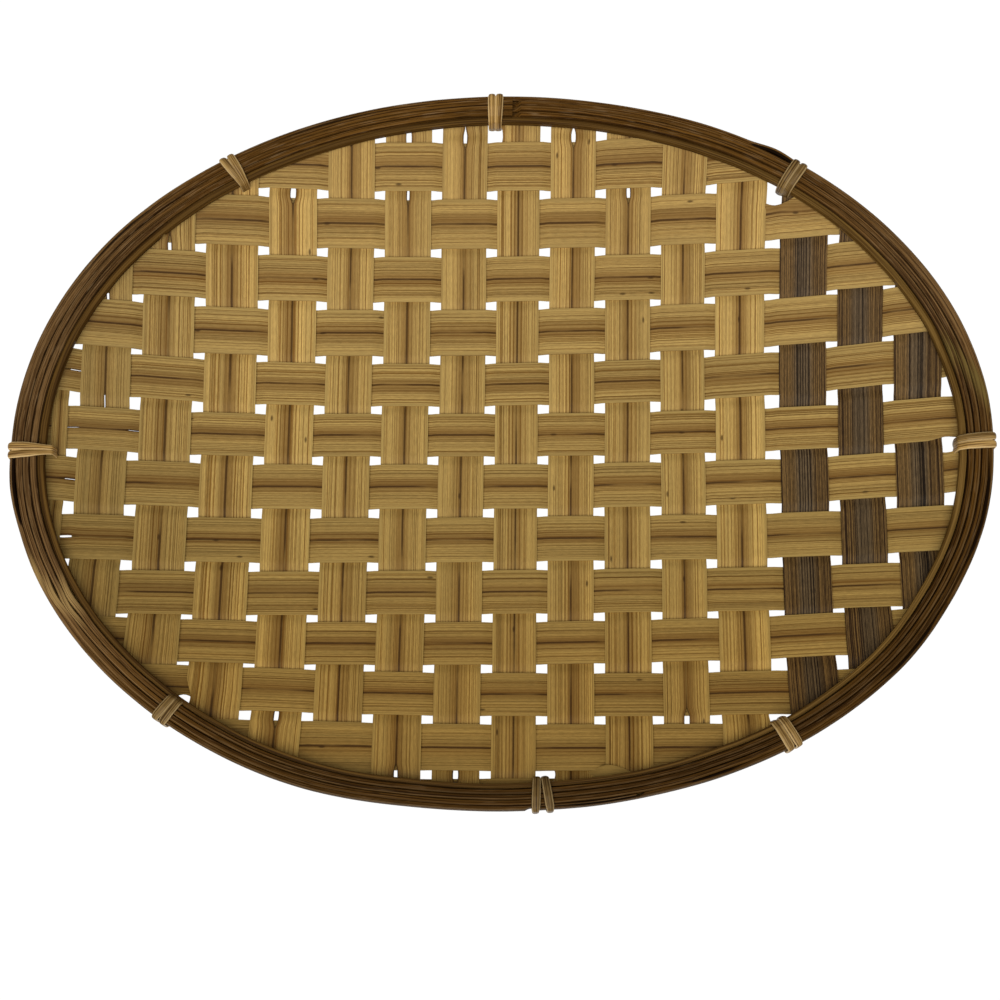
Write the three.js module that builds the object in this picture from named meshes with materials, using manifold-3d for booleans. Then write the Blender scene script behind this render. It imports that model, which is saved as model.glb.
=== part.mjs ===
// Oval woven tray. Flat bamboo splints cross in a plain weave and are cut off to an oval. The
// weave rises towards its edge, where bent bamboo hoops hold it, and strands of split cane tie
// the hoops to the weave. Millimetres, +Z up. The origin is on the table under the middle of
// the tray, with +X along its length.
import * as THREE from "three";
import { mergeVertices } from "three/addons/utils/BufferGeometryUtils.js";
import Module from "manifold-3d";

const wasm = await Module();
wasm.setup();

// The oval, measured over the outer hoop
const TRAY_LENGTH = 360;
const TRAY_WIDTH = 270;
const RIM_HEIGHT = 18.5; // from the table to the top of the hoops

// The weave: level in the middle, rising over a run of RISE_RUN to its cut edge
const SPLINT_THICKNESS = 0.9;
const HOLE_LENGTH = 4.1; // the small holes, along the tray: between neighbouring warps
const HOLE_WIDTH = 3.3; // and across it: between neighbouring wefts
const EDGE_RISE = 12;
const RISE_RUN = 57;
const RISE_POWER = 1.4; // 1 is a straight slope with a sharp bend, 2 one even curve
const WEFT_BOW = 3.4; // how far the weft bows to the far side at the tray's ends
const WARP_SPREAD = 2; // how far the end warps lean out at the near and far sides
const WARP_LEAN = 2.1; // how far all warps lean to the right at the far side
const WEFT_LEAN = 0.8; // and all wefts to the far side at the right end

// Splints are split by hand, so their lanes differ: from hole line to hole line, in order from
// the left and from the near side. A longer or wider tray goes through the list again.
const WARP_LANES = [22, 23, 23.5, 22, 21.5, 21.5, 21, 20, 21, 21, 20.5, 24, 21.5, 20.5, 21];
const WEFT_LANES = [20.5, 19, 19, 19.5, 20, 20, 19.5, 19.5, 21, 20.5, 22, 21.5];
const LEFT_MARGIN = 20.6; // from the oval's left end to the first hole line
const NEAR_MARGIN = 14.5; // from the oval's near side to the first hole line
const LEAST_MARGIN = 12; // no hole line lies nearer to the far end of the oval
const LEFT_EDGE_WIDTH = 8; // the narrow splint beyond the first hole line on the left
const NEAR_EDGE_WIDTH = 6; // the narrow splint beyond the first hole line at the near side
const STAINED_WARPS = 3; // the last splints at the right end are stained dark

// The hoops, from the outside in
const OUTER_HOOP_THICKNESS = 1.9;
const OUTER_HOOP_HEIGHT = 8;
const INNER_HOOP_THICKNESS = 2;
const INNER_HOOPS = 3;
const LINER_THICKNESS = 1.6;
const LINER_DROP = 2.5; // the liner's top below the top of the other hoops
const LAP_LENGTH = 40; // the two ends of a hoop lie over each other along this length
const LAP_SHOULDER = 1.5;
const OUTER_LAP = 273; // where the hoops are lapped, in degrees round the oval from +X
const INNER_LAP = 88;
const LINER_LAP = 150;

// The lashings: a flat strand wound round the rim, in degrees round the oval from +X
const LASHING_ANGLES = [0, 51.5, 90.5, 125, 181, 227.5, 274.5, 305];
const LASHING_TURNS = 2;
const STRAND_WIDTH = 2.9;
const STRAND_THICKNESS = 0.9;
const STRAND_PITCH = 3.3;
const LASHING_CORNER = 1.6; // how far from each corner the strand starts to bend

// Clearances
const FIT = 0.3; // between pieces that touch
const HOOP_SEAT = 0.5; // between the weave and the hoops that lie on it

// Fineness
const OVAL_STEPS = 72;
const LAP_STEPS = 4;
const CORNER_STEPS = 3;

const HALF_LENGTH = TRAY_LENGTH / 2;
const HALF_WIDTH = TRAY_WIDTH / 2;
const CUT_INSET = OUTER_HOOP_THICKNESS + FIT;
const WEAVE_MIDDLE = SPLINT_THICKNESS + FIT / 2;
const HALF_WEAVE = WEAVE_MIDDLE;
const OUTER_HOOP_BOTTOM = RIM_HEIGHT - OUTER_HOOP_HEIGHT;

// A place on the oval. The angle goes round from +X, and inset steps in square to the oval.
function ovalNormal(angle) {
  return new THREE.Vector2(Math.cos(angle) / HALF_LENGTH, Math.sin(angle) / HALF_WIDTH).normalize();
}

function ovalPoint(angle, inset) {
  const point = new THREE.Vector2(HALF_LENGTH * Math.cos(angle), HALF_WIDTH * Math.sin(angle));
  return point.addScaledVector(ovalNormal(angle), -inset);
}

function ovalLengthPerRadian(angle) {
  return Math.hypot(HALF_LENGTH * Math.sin(angle), HALF_WIDTH * Math.cos(angle));
}

// Height of the middle of the weave, at a distance in from its cut edge
function heightInFromEdge(distance) {
  const rise = Math.max(0, 1 - distance / RISE_RUN);
  return WEAVE_MIDDLE + EDGE_RISE * rise ** RISE_POWER;
}

function weaveHeight(x, y) {
  const radius = Math.hypot(x, y);
  const share = Math.hypot(x / (HALF_LENGTH - CUT_INSET), y / (HALF_WIDTH - CUT_INSET));
  return share === 0 ? WEAVE_MIDDLE : heightInFromEdge(radius / share - radius);
}

// From straight lanes to the tray: the weft bows, the warp spreads and both lean, as it came out by hand
function lanePoint(laneX, laneY, height) {
  const lengthShare = laneX / HALF_LENGTH;
  const y = laneY + WEFT_BOW * lengthShare ** 2 + WEFT_LEAN * lengthShare;
  const widthShare = y / HALF_WIDTH;
  const x = laneX + WARP_SPREAD * lengthShare * widthShare ** 2 + WARP_LEAN * widthShare;
  return new THREE.Vector3(x, y, weaveHeight(x, y) + height);
}

// A closed skin over a row of rings of points, with its faces pointing out. The two faces of a flat
// strip are split along the same diagonals, which keeps it even where it twists.
function loft(rings) {
  const sides = rings[0].length;
  const points = rings.flat();
  const last = points.length - sides;
  let triangles = [];
  for (let start = 0; start < last; start += sides) {
    for (let side = 0; side < sides; side += 1) {
      const a = start + side;
      const b = start + ((side + 1) % sides);
      if (side < sides / 2) {
        triangles.push([a, b, b + sides], [a, b + sides, a + sides]);
      } else {
        triangles.push([a, b, a + sides], [b, b + sides, a + sides]);
      }
    }
  }
  for (let side = 1; side + 1 < sides; side += 1) {
    triangles.push([0, side + 1, side], [last, last + side, last + side + 1]);
  }
  const volume = triangles.reduce(
    (sum, [a, b, c]) => sum + points[a].dot(points[b].clone().cross(points[c])), 0);
  if (volume < 0) {
    triangles = triangles.map(([a, b, c]) => [a, c, b]);
  }
  const geometry = new THREE.BufferGeometry().setFromPoints(points);
  geometry.setIndex(triangles.flat());
  return geometry;
}

function toSolid(geometry) {
  const bare = geometry.clone();
  bare.deleteAttribute("normal");
  bare.deleteAttribute("uv");
  const merged = mergeVertices(bare);
  const vertProperties = new Float32Array(merged.attributes.position.array);
  const triVerts = new Uint32Array(merged.index.array);
  return new wasm.Manifold(new wasm.Mesh({ numProp: 3, vertProperties, triVerts }));
}

function toGeometry(solid) {
  const mesh = solid.getMesh();
  const geometry = new THREE.BufferGeometry();
  geometry.setAttribute("position", new THREE.BufferAttribute(mesh.vertProperties, 3));
  geometry.setIndex(new THREE.BufferAttribute(mesh.triVerts, 1));
  return geometry;
}

// Colours and finishes
const NATURAL_BAMBOO = { color: 0xa48550, roughness: 0.6, metalness: 0 };
const STAINED_BAMBOO = { color: 0x5c462b, roughness: 0.6, metalness: 0 };
const RIM_BAMBOO = { color: 0x4a341c, roughness: 0.5, metalness: 0 };
const LINER_BAMBOO = { color: 0x9c7b48, roughness: 0.6, metalness: 0 };
const SPLIT_CANE = { color: 0xaf915f, roughness: 0.5, metalness: 0 };

const tray = new THREE.Group();

function addPiece(name, geometry, finish) {
  geometry.computeVertexNormals();
  const mesh = new THREE.Mesh(geometry, new THREE.MeshStandardMaterial(finish));
  mesh.name = name;
  tray.add(mesh);
  return mesh;
}

// Lashings. The strand's path round the rim is drawn as x inwards from the oval and y up. It runs
// up outside the outer hoop, over the hoops, down inside the liner, through the weave and back.
const hoopInset = (count) => CUT_INSET + count * (INNER_HOOP_THICKNESS + FIT);
const LINER_INSET = hoopInset(INNER_HOOPS);
const RIM_DEPTH = LINER_INSET + LINER_THICKNESS;
const strandReach = FIT + STRAND_THICKNESS / 2;
const insideLeg = RIM_DEPTH + strandReach;
const topLeg = RIM_HEIGHT + strandReach;
const weaveUnderside = heightInFromEdge(insideLeg + strandReach - CUT_INSET) - HALF_WEAVE;
const strandCorners = [
  [-strandReach, OUTER_HOOP_BOTTOM - strandReach],
  [-strandReach, topLeg],
  [LINER_INSET + LINER_THICKNESS / 2, topLeg],
  [insideLeg, topLeg - LINER_DROP],
  [insideLeg, weaveUnderside - LASHING_CORNER],
].map(([x, y]) => new THREE.Vector2(x, y));

function strandLoop() {
  const path = new THREE.Path();
  const bottomStart = strandCorners[0].clone().lerp(strandCorners.at(-1), 0.5);
  path.moveTo(bottomStart.x, bottomStart.y);
  strandCorners.forEach((corner, i) => {
    const towards = (other) => {
      const away = other.clone().sub(corner);
      const bend = Math.min(LASHING_CORNER, away.length() / 2);
      return corner.clone().add(away.setLength(bend));
    };
    const before = towards(strandCorners.at(i - 1));
    const after = towards(strandCorners[(i + 1) % strandCorners.length]);
    path.lineTo(before.x, before.y);
    path.quadraticCurveTo(corner.x, corner.y, after.x, after.y);
  });
  path.lineTo(bottomStart.x, bottomStart.y);
  return path.getPoints(CORNER_STEPS).slice(0, -1);
}

// The strand is flat underneath and crowned on its skin side.
const strandSection = [
  [-STRAND_WIDTH / 2, -STRAND_THICKNESS / 2],
  [STRAND_WIDTH / 2, -STRAND_THICKNESS / 2],
  [STRAND_WIDTH / 2, 0],
  [STRAND_WIDTH / 4, STRAND_THICKNESS / 2],
  [-STRAND_WIDTH / 4, STRAND_THICKNESS / 2],
  [-STRAND_WIDTH / 2, 0],
];

// It crosses the rim square in each turn and steps to the next turn underneath.
function lashingRings() {
  const loop = strandLoop();
  const rings = [];
  for (let step = 0; step <= loop.length * LASHING_TURNS; step += 1) {
    const place = step % loop.length;
    const here = loop[place];
    const onward = loop[(place + 1) % loop.length].clone().sub(loop.at(place - 1)).normalize();
    const out = new THREE.Vector2(-onward.y, onward.x);
    const turn = (step - place) / loop.length - (place === 0 ? 0.5 : 0);
    const along = STRAND_PITCH * (turn - (LASHING_TURNS - 1) / 2);
    rings.push(strandSection.map(([across, up]) => new THREE.Vector3(
      here.x + up * out.x, along + across, here.y + up * out.y)));
  }
  return rings;
}

// The least distance between points of the strand that are half a turn or more apart along it
function leastGap(rings) {
  const halfTurn = Math.ceil((rings.length - 1) / LASHING_TURNS / 2);
  let least = Infinity;
  rings.forEach((ring, i) => rings.slice(i + halfTurn).forEach((other) => {
    ring.forEach((a) => other.forEach((b) => {
      least = Math.min(least, a.distanceTo(b));
    }));
  }));
  return least;
}

// From the middle of the rim to the lashing's own frame: x inwards, y along the rim
function placeAtRim(object, degrees) {
  const angle = THREE.MathUtils.degToRad(degrees);
  const place = ovalPoint(angle, 0);
  const normal = ovalNormal(angle);
  object.position.set(place.x, place.y, 0);
  object.rotation.z = Math.atan2(-normal.y, -normal.x);
  object.updateMatrixWorld();
}

const strand = lashingRings();
const lashing = loft(strand);
LASHING_ANGLES.forEach((degrees, i) => {
  placeAtRim(addPiece(`lashing_${i + 1}`, lashing, SPLIT_CANE), degrees);
});
console.log("least gap between the turns of a lashing, mm:", leastGap(strand).toFixed(2));

// Slits that let the lashings through the weave
const slitLength = STRAND_WIDTH + STRAND_PITCH * (LASHING_TURNS - 1) + 2 * FIT;
const slitBox = new THREE.BoxGeometry(STRAND_THICKNESS + 2 * FIT, slitLength, RIM_HEIGHT);
slitBox.translate(insideLeg, 0, RIM_HEIGHT / 2);
const slits = LASHING_ANGLES.map((degrees) => {
  const placed = new THREE.Object3D();
  placeAtRim(placed, degrees);
  return toSolid(slitBox.clone().applyMatrix4(placed.matrixWorld));
}).reduce((all, slit) => all.add(slit));

// The weave
const cutOutline = Array.from({ length: OVAL_STEPS }, (_, i) =>
  ovalPoint((2 * Math.PI * i) / OVAL_STEPS, CUT_INSET));
const cutDepth = 4 * (EDGE_RISE + HALF_WEAVE);
const cutOval = new THREE.ExtrudeGeometry(new THREE.Shape(cutOutline), { depth: cutDepth, bevelEnabled: false });
const insideCut = toSolid(cutOval.translate(0, 0, -HALF_WEAVE));

function holeLines(first, lanes, end) {
  const lines = [first];
  while (lines.at(-1) + lanes[(lines.length - 1) % lanes.length] <= end) {
    lines.push(lines.at(-1) + lanes[(lines.length - 1) % lanes.length]);
  }
  return lines;
}

const warpLines = holeLines(LEFT_MARGIN - HALF_LENGTH, WARP_LANES, HALF_LENGTH - LEAST_MARGIN);
const weftLines = holeLines(NEAR_MARGIN - HALF_WIDTH, WEFT_LANES, HALF_WIDTH - LEAST_MARGIN);

// One splint: it lies over or under each lane that it crosses and changes sides at the hole lines.
function splintGeometry(edges, crossedLines, crossedGap, halfReach, overFirst, place) {
  const step = SPLINT_THICKNESS + FIT;
  const flat = crossedGap / 2 - FIT / 2;
  const stations = [[-halfReach, overFirst]];
  crossedLines.forEach((line, i) => {
    const over = i % 2 === 0 ? overFirst : !overFirst;
    stations.push([line - flat, over], [line + flat, !over]);
  });
  stations.push([halfReach, stations.at(-1)[1]]);
  const rings = stations.map(([along, over]) => {
    const middle = over ? step / 2 : -step / 2;
    const low = middle - SPLINT_THICKNESS / 2;
    const high = middle + SPLINT_THICKNESS / 2;
    return [
      place(edges[0], along, low), place(edges[1], along, low),
      place(edges[1], along, high), place(edges[0], along, high),
    ];
  });
  return toGeometry(toSolid(loft(rings)).intersect(insideCut).subtract(slits));
}

function addWarp(name, left, right, overFirst, finish) {
  const place = (across, along, height) => lanePoint(across, along, height);
  const geometry = splintGeometry([left, right], weftLines, HOLE_WIDTH, HALF_WIDTH, overFirst, place);
  addPiece(name, geometry, finish);
}

function addWeft(name, near, far, overFirst) {
  const place = (across, along, height) => lanePoint(along, across, height);
  const geometry = splintGeometry([near, far], warpLines, HOLE_LENGTH, HALF_LENGTH, overFirst, place);
  addPiece(name, geometry, NATURAL_BAMBOO);
}

// Between two hole lines lies one splint, narrower than its lane by a hole. A warp and a weft swap
// sides from crossing to crossing, so the first crossing of neighbours is over and under by turns.
const twoDigits = (number) => String(number).padStart(2, "0");

for (let i = 0; i + 1 < warpLines.length; i += 1) {
  const stained = i >= warpLines.length - 1 - STAINED_WARPS;
  addWarp(`warp_splint_${twoDigits(i + 1)}`, warpLines[i] + HOLE_LENGTH / 2,
    warpLines[i + 1] - HOLE_LENGTH / 2, i % 2 === 0, stained ? STAINED_BAMBOO : NATURAL_BAMBOO);
}
const leftEdge = warpLines[0] - HOLE_LENGTH / 2;
addWarp("warp_splint_left_edge", leftEdge - LEFT_EDGE_WIDTH, leftEdge, false, NATURAL_BAMBOO);

for (let i = 0; i + 1 < weftLines.length; i += 1) {
  addWeft(`weft_splint_${twoDigits(i + 1)}`, weftLines[i] + HOLE_WIDTH / 2,
    weftLines[i + 1] - HOLE_WIDTH / 2, i % 2 === 1);
}
const nearEdge = weftLines[0] - HOLE_WIDTH / 2;
addWeft("weft_splint_near_edge", nearEdge - NEAR_EDGE_WIDTH, nearEdge, true);

// Hoops. A strip is bent round the oval, and its two ends are thinned to lie against each other in
// a lap: one on top of the other, or side by side.
function hoopGeometry(inset, thickness, bottom, top, lapDegrees, endOnTop) {
  const lapStart = THREE.MathUtils.degToRad(lapDegrees);
  const lap = LAP_LENGTH / ovalLengthPerRadian(lapStart);
  const shoulder = LAP_SHOULDER / ovalLengthPerRadian(lapStart);
  const turn = 2 * Math.PI;
  const inside = inset + thickness;
  const halfHeight = (top - bottom - FIT) / 2;
  const halfThickness = (thickness - FIT) / 2;
  const firstEnd = endOnTop ? [inset, inside, top - halfHeight, top]
    : [inset, inset + halfThickness, bottom, top];
  const lastEnd = endOnTop ? [inset, inside, bottom, bottom + halfHeight]
    : [inside - halfThickness, inside, bottom, top];
  const rings = [];
  const addRun = (from, to, steps, [outerSide, innerSide, low, high]) => {
    for (let step = 0; step <= steps; step += 1) {
      const angle = from + ((to - from) * step) / steps;
      const outer = ovalPoint(angle, outerSide);
      const inner = ovalPoint(angle, innerSide);
      rings.push([
        new THREE.Vector3(outer.x, outer.y, low), new THREE.Vector3(outer.x, outer.y, high),
        new THREE.Vector3(inner.x, inner.y, high), new THREE.Vector3(inner.x, inner.y, low),
      ]);
    }
  };
  addRun(lapStart + shoulder, lapStart + lap, LAP_STEPS, firstEnd);
  addRun(lapStart + lap + shoulder, lapStart + turn - shoulder, OVAL_STEPS, [inset, inside, bottom, top]);
  addRun(lapStart + turn, lapStart + turn + lap - shoulder, LAP_STEPS, lastEnd);
  return loft(rings);
}

// The inner hoops and the liner lie on the weave, which is highest under their outer side.
const seatHeight = (inset) => heightInFromEdge(inset - CUT_INSET) + HALF_WEAVE + HOOP_SEAT;

addPiece("outer_hoop",
  hoopGeometry(0, OUTER_HOOP_THICKNESS, OUTER_HOOP_BOTTOM, RIM_HEIGHT, OUTER_LAP, false), RIM_BAMBOO);
for (let i = 0; i < INNER_HOOPS; i += 1) {
  const inset = hoopInset(i);
  addPiece(`inner_hoop_${i + 1}`, hoopGeometry(inset, INNER_HOOP_THICKNESS, seatHeight(inset), RIM_HEIGHT,
    INNER_LAP, true), RIM_BAMBOO);
}
addPiece("liner_hoop", hoopGeometry(LINER_INSET, LINER_THICKNESS, seatHeight(LINER_INSET),
  RIM_HEIGHT - LINER_DROP, LINER_LAP, false), LINER_BAMBOO);

export default tray;
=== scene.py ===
# An oval tray woven from bamboo splints, with a rim of bent bamboo strips tied on with split cane.
# Metres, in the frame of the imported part: +Z up, +X along the tray towards its stained splints.
import math

import bpy
from mathutils import Matrix, Vector


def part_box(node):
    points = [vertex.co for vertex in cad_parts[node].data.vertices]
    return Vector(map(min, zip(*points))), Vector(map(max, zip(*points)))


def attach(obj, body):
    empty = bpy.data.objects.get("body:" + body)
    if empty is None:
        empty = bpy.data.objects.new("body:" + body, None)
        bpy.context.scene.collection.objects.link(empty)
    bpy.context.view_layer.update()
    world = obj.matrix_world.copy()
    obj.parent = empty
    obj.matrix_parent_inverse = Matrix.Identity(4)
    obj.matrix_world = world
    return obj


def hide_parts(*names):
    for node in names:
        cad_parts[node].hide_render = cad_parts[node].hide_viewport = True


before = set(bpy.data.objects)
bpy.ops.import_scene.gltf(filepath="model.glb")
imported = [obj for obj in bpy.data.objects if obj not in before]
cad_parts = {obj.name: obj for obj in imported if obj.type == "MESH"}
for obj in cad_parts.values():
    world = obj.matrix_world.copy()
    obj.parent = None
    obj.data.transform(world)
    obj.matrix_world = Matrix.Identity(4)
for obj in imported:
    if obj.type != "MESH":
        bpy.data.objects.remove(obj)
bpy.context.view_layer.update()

# Natural splints of the floor
# The floor is flat bamboo splints, split and planed by hand to under a millimetre and left bare.
# They cross in plain weave and hold each other, and the rim clamps their ends.
MM = 0.001
TRAY_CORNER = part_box("outer_hoop")[1]
HALF_LENGTH = TRAY_CORNER.x
HALF_WIDTH = TRAY_CORNER.y


def hex_colour(text):
    """A hex colour such as #a48550 as linear red, green, blue and alpha."""
    shares = [int(text[i:i + 2], 16) / 255 for i in (1, 3, 5)]
    return [s / 12.92 if s <= 0.04045 else ((s + 0.055) / 1.055) ** 2.4 for s in shares] + [1]


def feed(socket, value):
    """Links an input to a node or a socket, or sets it to a value or a hex colour."""
    if isinstance(value, bpy.types.Node):
        value = next(s for s in value.outputs if s.enabled)
    if isinstance(value, bpy.types.NodeSocket):
        socket.id_data.links.new(value, socket)
    else:
        socket.default_value = hex_colour(value) if str(value).startswith("#") else value


def add(kind, *values, **settings):
    """Adds a node to the tree in hand. Its kind leaves out the family and may name an operation: Math/SINE
    is a ShaderNodeMath set to SINE. Its inputs take the values in order, or by name from a dictionary."""
    kind, _, operation = kind.partition("/")
    families = (tree.bl_idname.removesuffix("Tree"), "ShaderNode", "FunctionNode", "Node")
    node = tree.nodes.new(next(f + kind for f in families if hasattr(bpy.types, f + kind)))
    if operation:
        node.operation = operation
    for name, value in settings.items():
        setattr(node, name, value)
    inputs = [s for s in node.inputs if s.enabled]
    if values and isinstance(values[0], dict):
        inputs = [next(s for s in inputs if s.name == name) for name in values[0]]
        values = values[0].values()
    for socket, value in zip(inputs, values):
        feed(socket, value)
    return node


def new_group(name, family, output, **inputs):
    """A node group with one output and its inputs listed by kind. Returns it and the inputs by name."""
    group = bpy.data.node_groups.new(name, f"{family}NodeTree")
    for kind, labels in inputs.items():
        for label in labels:
            group.interface.new_socket(label, in_out="INPUT", socket_type=f"NodeSocket{kind}")
    group.interface.new_socket(output, in_out="OUTPUT", socket_type=f"NodeSocket{output}")
    sockets = group.nodes.new("NodeGroupInput").outputs
    return group, {s.name: s for s in sockets if s.name}


# Painted shade: the tray is tinted darker and browner over its near half than its far half, and darker at
# the left end, where less light falls.
# Tints from the near side to the far side, each with its share of the way.
PAINTED_SHADE_TINTS = [(0.2, (0.77, 0.72, 0.56)), (0.36, (0.83, 0.82, 0.72)), (0.5, (0.94, 0.94, 0.88)),
          (0.68, (1.0, 1.0, 0.98)), (1, (0.985, 0.955, 0.91))]
SHADED_LEFT = (-165 * MM, -60 * MM)
SHADED_LEFT_TONE = 0.85
SMOOTH = {"interpolation_type": "SMOOTHSTEP"}
tree, given = new_group("painted_shade", "Shader", "Color", Color=["Color"])
spot_x, spot_y, _ = add("SeparateXYZ", add("TexCoord").outputs["Object"]).outputs
shade_colours = add("ValToRGB", add("MapRange", spot_y, -HALF_WIDTH, HALF_WIDTH))
stops = shade_colours.color_ramp.elements
stops[0].position = PAINTED_SHADE_TINTS[0][0]
for position, tint in PAINTED_SHADE_TINTS[1:-1]:
    stops.new(position)
for stop, (position, tint) in zip(stops, PAINTED_SHADE_TINTS):
    stop.color = (*tint, 1)
left_shade = add("MapRange", spot_x, *SHADED_LEFT, SHADED_LEFT_TONE, 1, **SMOOTH)
shade_tone = add("VectorMath/SCALE", shade_colours, left_shade)
add("GroupOutput", add("VectorMath/MULTIPLY", given["Color"], shade_tone))
painted_shade = tree


def new_material(name):
    """A material. Returns it, its tree and its map: across the fibres, and along them in millimetres."""
    material = bpy.data.materials.new(name)
    material.use_nodes = True
    fibre_map = material.node_tree.nodes.new("ShaderNodeUVMap")
    fibre_map.uv_map = "fibre"
    return material, material.node_tree, fibre_map


def streaks(across, along, detail, roughness=0.5):
    """Noise drawn out along the fibres, by its waves to a unit of the map across and along them."""
    place = add("VectorMath/MULTIPLY", uv, (across, along, 1))
    waves = {"Vector": place, "Scale": 1, "Detail": detail, "Roughness": roughness}
    return add("TexNoise", waves, noise_dimensions="2D")


RGBA = {"data_type": "RGBA"}


def overlay(under, over, value, start, end, first=0, last=1, easing="SMOOTHSTEP"):
    """One colour over another. Its share goes from first to last as the value goes from start to end."""
    share = add("MapRange", value, start, end, first, last, interpolation_type=easing)
    return add("Mix", share, under, over, **RGBA)


def end_material(colour, roughness, specular, **inputs):
    """Closes a material: its shader takes the colour, the roughness, the shine and any other input."""
    shader = tree.nodes["Principled BSDF"]
    shine = {"Base Color": colour, "Roughness": roughness, "Specular IOR Level": specular}
    for name, value in {**shine, **inputs}.items():
        feed(shader.inputs[name], value)


# Bare bamboo: tan bands of thin straight fibre lines, browner and split along the middle, with pale sides
bare_bamboo, tree, uv = new_material("bare_bamboo")
across, along, _ = add("SeparateXYZ", uv).outputs
off_split = add("Math/ABSOLUTE", across)

# Each splint has a stretch of the map to itself. It has its own tone, and its brown zone lies a little to
# one side.
STRETCH = 1000
splint_number = add("Math/SNAP", along, STRETCH)
own_luck = add("TexWhiteNoise", splint_number, noise_dimensions="1D")
_, shift_luck, zone_luck = add("SeparateXYZ", own_luck.outputs["Color"]).outputs
own_tone = add("Attribute", attribute_name="tone").outputs["Fac"]
own_shift = add("MapRange", shift_luck, 0, 1, -0.16, 0.16)
from_zone = add("Math/ABSOLUTE", add("Math/SUBTRACT", across, own_shift))

# Thin dark lines on tan, broken by pores. The lines are about 1.3 mm apart.
LINES_TO_HALF_A_SPLINT = 6.5
LINE_SHIFT = 13.7 / STRETCH
lines = streaks(20, 0.0012, 3, 0.7)
line_colour = overlay("#765320", "#b39355", lines, 0.34, 0.52)
drifted = add("Math/MULTIPLY_ADD", across, LINES_TO_HALF_A_SPLINT, streaks(0.6, 0.006, 1))
line_row = add("Math/MULTIPLY_ADD", splint_number, LINE_SHIFT, drifted)
rows = add("TexVoronoi", {"W": line_row, "Scale": 1, "Randomness": 0.9},
           voronoi_dimensions="1D", feature="DISTANCE_TO_EDGE")
thin_most = add("MapRange", streaks(4, 0.014, 2), 0.35, 0.65, 0.1, 0.75)
thin_lines = overlay(line_colour, "#5a3a0f", rows, 0.03, 0.14, thin_most, 0)
pore_tone = add("MapRange", streaks(32, 0.35, 2, 0.7), 0.3, 0.7, 0.84, 1.14)
band_tone = add("MapRange", streaks(2.4, 0.006, 2), 0.3, 0.7, 0.86, 1.12)
fine_tone = add("Math/MULTIPLY", pore_tone, band_tone)
toned = add("VectorMath/SCALE", thin_lines, add("Math/MULTIPLY", fine_tone, own_tone))

# The brown zone, the split along the middle, with painted shade as a dark line where the split stays closed,
# and the pale sides
zone_most = add("MapRange", zone_luck, 0, 1, 0.4, 0.7)
zone_colour = overlay(toned, "#6b4617", from_zone, 0.04, 0.5, zone_most, 0)
split_shade_most = add("MapRange", streaks(0, 0.03, 2), 0.35, 0.5, 0.25, 0.85)
split_shaded_colour = overlay(zone_colour, "#3d2408", off_split, 0.018, 0.06, split_shade_most, 0)
side_colour = overlay(split_shaded_colour, "#a98d53", off_split, 0.82, 0.96, 0, 0.6, "LINEAR")

# A few dark specks
speck_place = add("VectorMath/MULTIPLY", uv, (1.4, 0.06, 1))
specks = add("TexVoronoi", {"Vector": speck_place, "Scale": 1}, voronoi_dimensions="2D")
speck_luck, _, _ = add("SeparateXYZ", specks.outputs["Color"]).outputs
speck_here = add("Math/GREATER_THAN", speck_luck, 0.93)
speck_shape = add("MapRange", specks.outputs["Distance"], 0.03, 0.1, 0.75, 0, **SMOOTH)
speck_share = add("Math/MULTIPLY", speck_here, speck_shape)
speck_colour = add("Mix", speck_share, side_colour, "#3a2409", **RGBA)
# Painted shade: the colour is tinted darker and browner towards the near side and the left end.
shade_painted = add("Group", speck_colour, node_tree=painted_shade)
relief = add("Bump", {"Height": lines, "Distance": 0.2 * MM, "Strength": 0.4})
end_material(shade_painted, 0.55, 0.1, Normal=relief)

# The rim is bent by hand, so it stands off the true oval here and there, and the ends of the splints with
# it: the share of a turn, and the step outwards in millimetres. The curve is CURVE_SPAN millimetres high.
STAND_OFF = [(0, 0), (0.08, 1), (0.15, 1.5), (0.22, 0), (0.29, -0.5), (0.39, -0.5), (0.465, -1), (0.52, 0),
             (0.59, 1), (0.665, 1.5), (0.745, -1.5), (0.81, -0.5), (0.88, 1), (0.94, 0), (1, 0)]
CURVE_SPAN = 10
tree, given = new_group("stand_off", "Geometry", "Float", Float=["Angle"])
turns = add("Math/DIVIDE", given["Angle"], math.tau)
course_curve = add("FloatCurve", {"Value": add("Math/FRACT", turns)})
curve = course_curve.mapping.curves[0]
for share, step in STAND_OFF[1:-1]:
    curve.points.new(share, 0)
for point, (share, step) in zip(curve.points, STAND_OFF):
    point.location = (share, 0.5 + step / CURVE_SPAN)
course_curve.mapping.update()
centred = add("Math/SUBTRACT", course_curve, 0.5)
add("GroupOutput", add("Math/MULTIPLY", centred, CURVE_SPAN * MM))
stand_off = tree

# The splint's shape: a flat strip from rim to rim that goes over and under at the hole lines. It follows
# its bowed lane and the dished floor. Its points are the hole lines that it crosses, each with half the
# width of the slit that its split opens to there.
COLUMNS = 12
ROWS = 240
HALF_COLUMN = 0.5 / (COLUMNS - 1)
tree, given = new_group(
    "woven_splint", "Geometry", "Geometry", Geometry=["Geometry"], Material=["Material"], Bool=["Along X"],
    Vector=["Push Place", "Push Step", "Tray Size"],
    Float=["Lane Middle", "Width", "Across Half", "Along Half", "Bow", "Spread", "Lean", "Crossed Bow",
           "Crossed Spread", "Crossed Lean", "First Side", "Step", "Ramp", "Edge Rise", "Rise Run",
           "Rise Power", "Middle Height", "Crown", "Waver", "End Spread", "Push Reach", "Seed", "Tone"])
grid = add("MeshGrid", 1, 1, COLUMNS, ROWS)
position = add("InputPosition")
grid_x, grid_y, _ = add("SeparateXYZ", position).outputs
side = add("Math/SIGN", grid_x)
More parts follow.
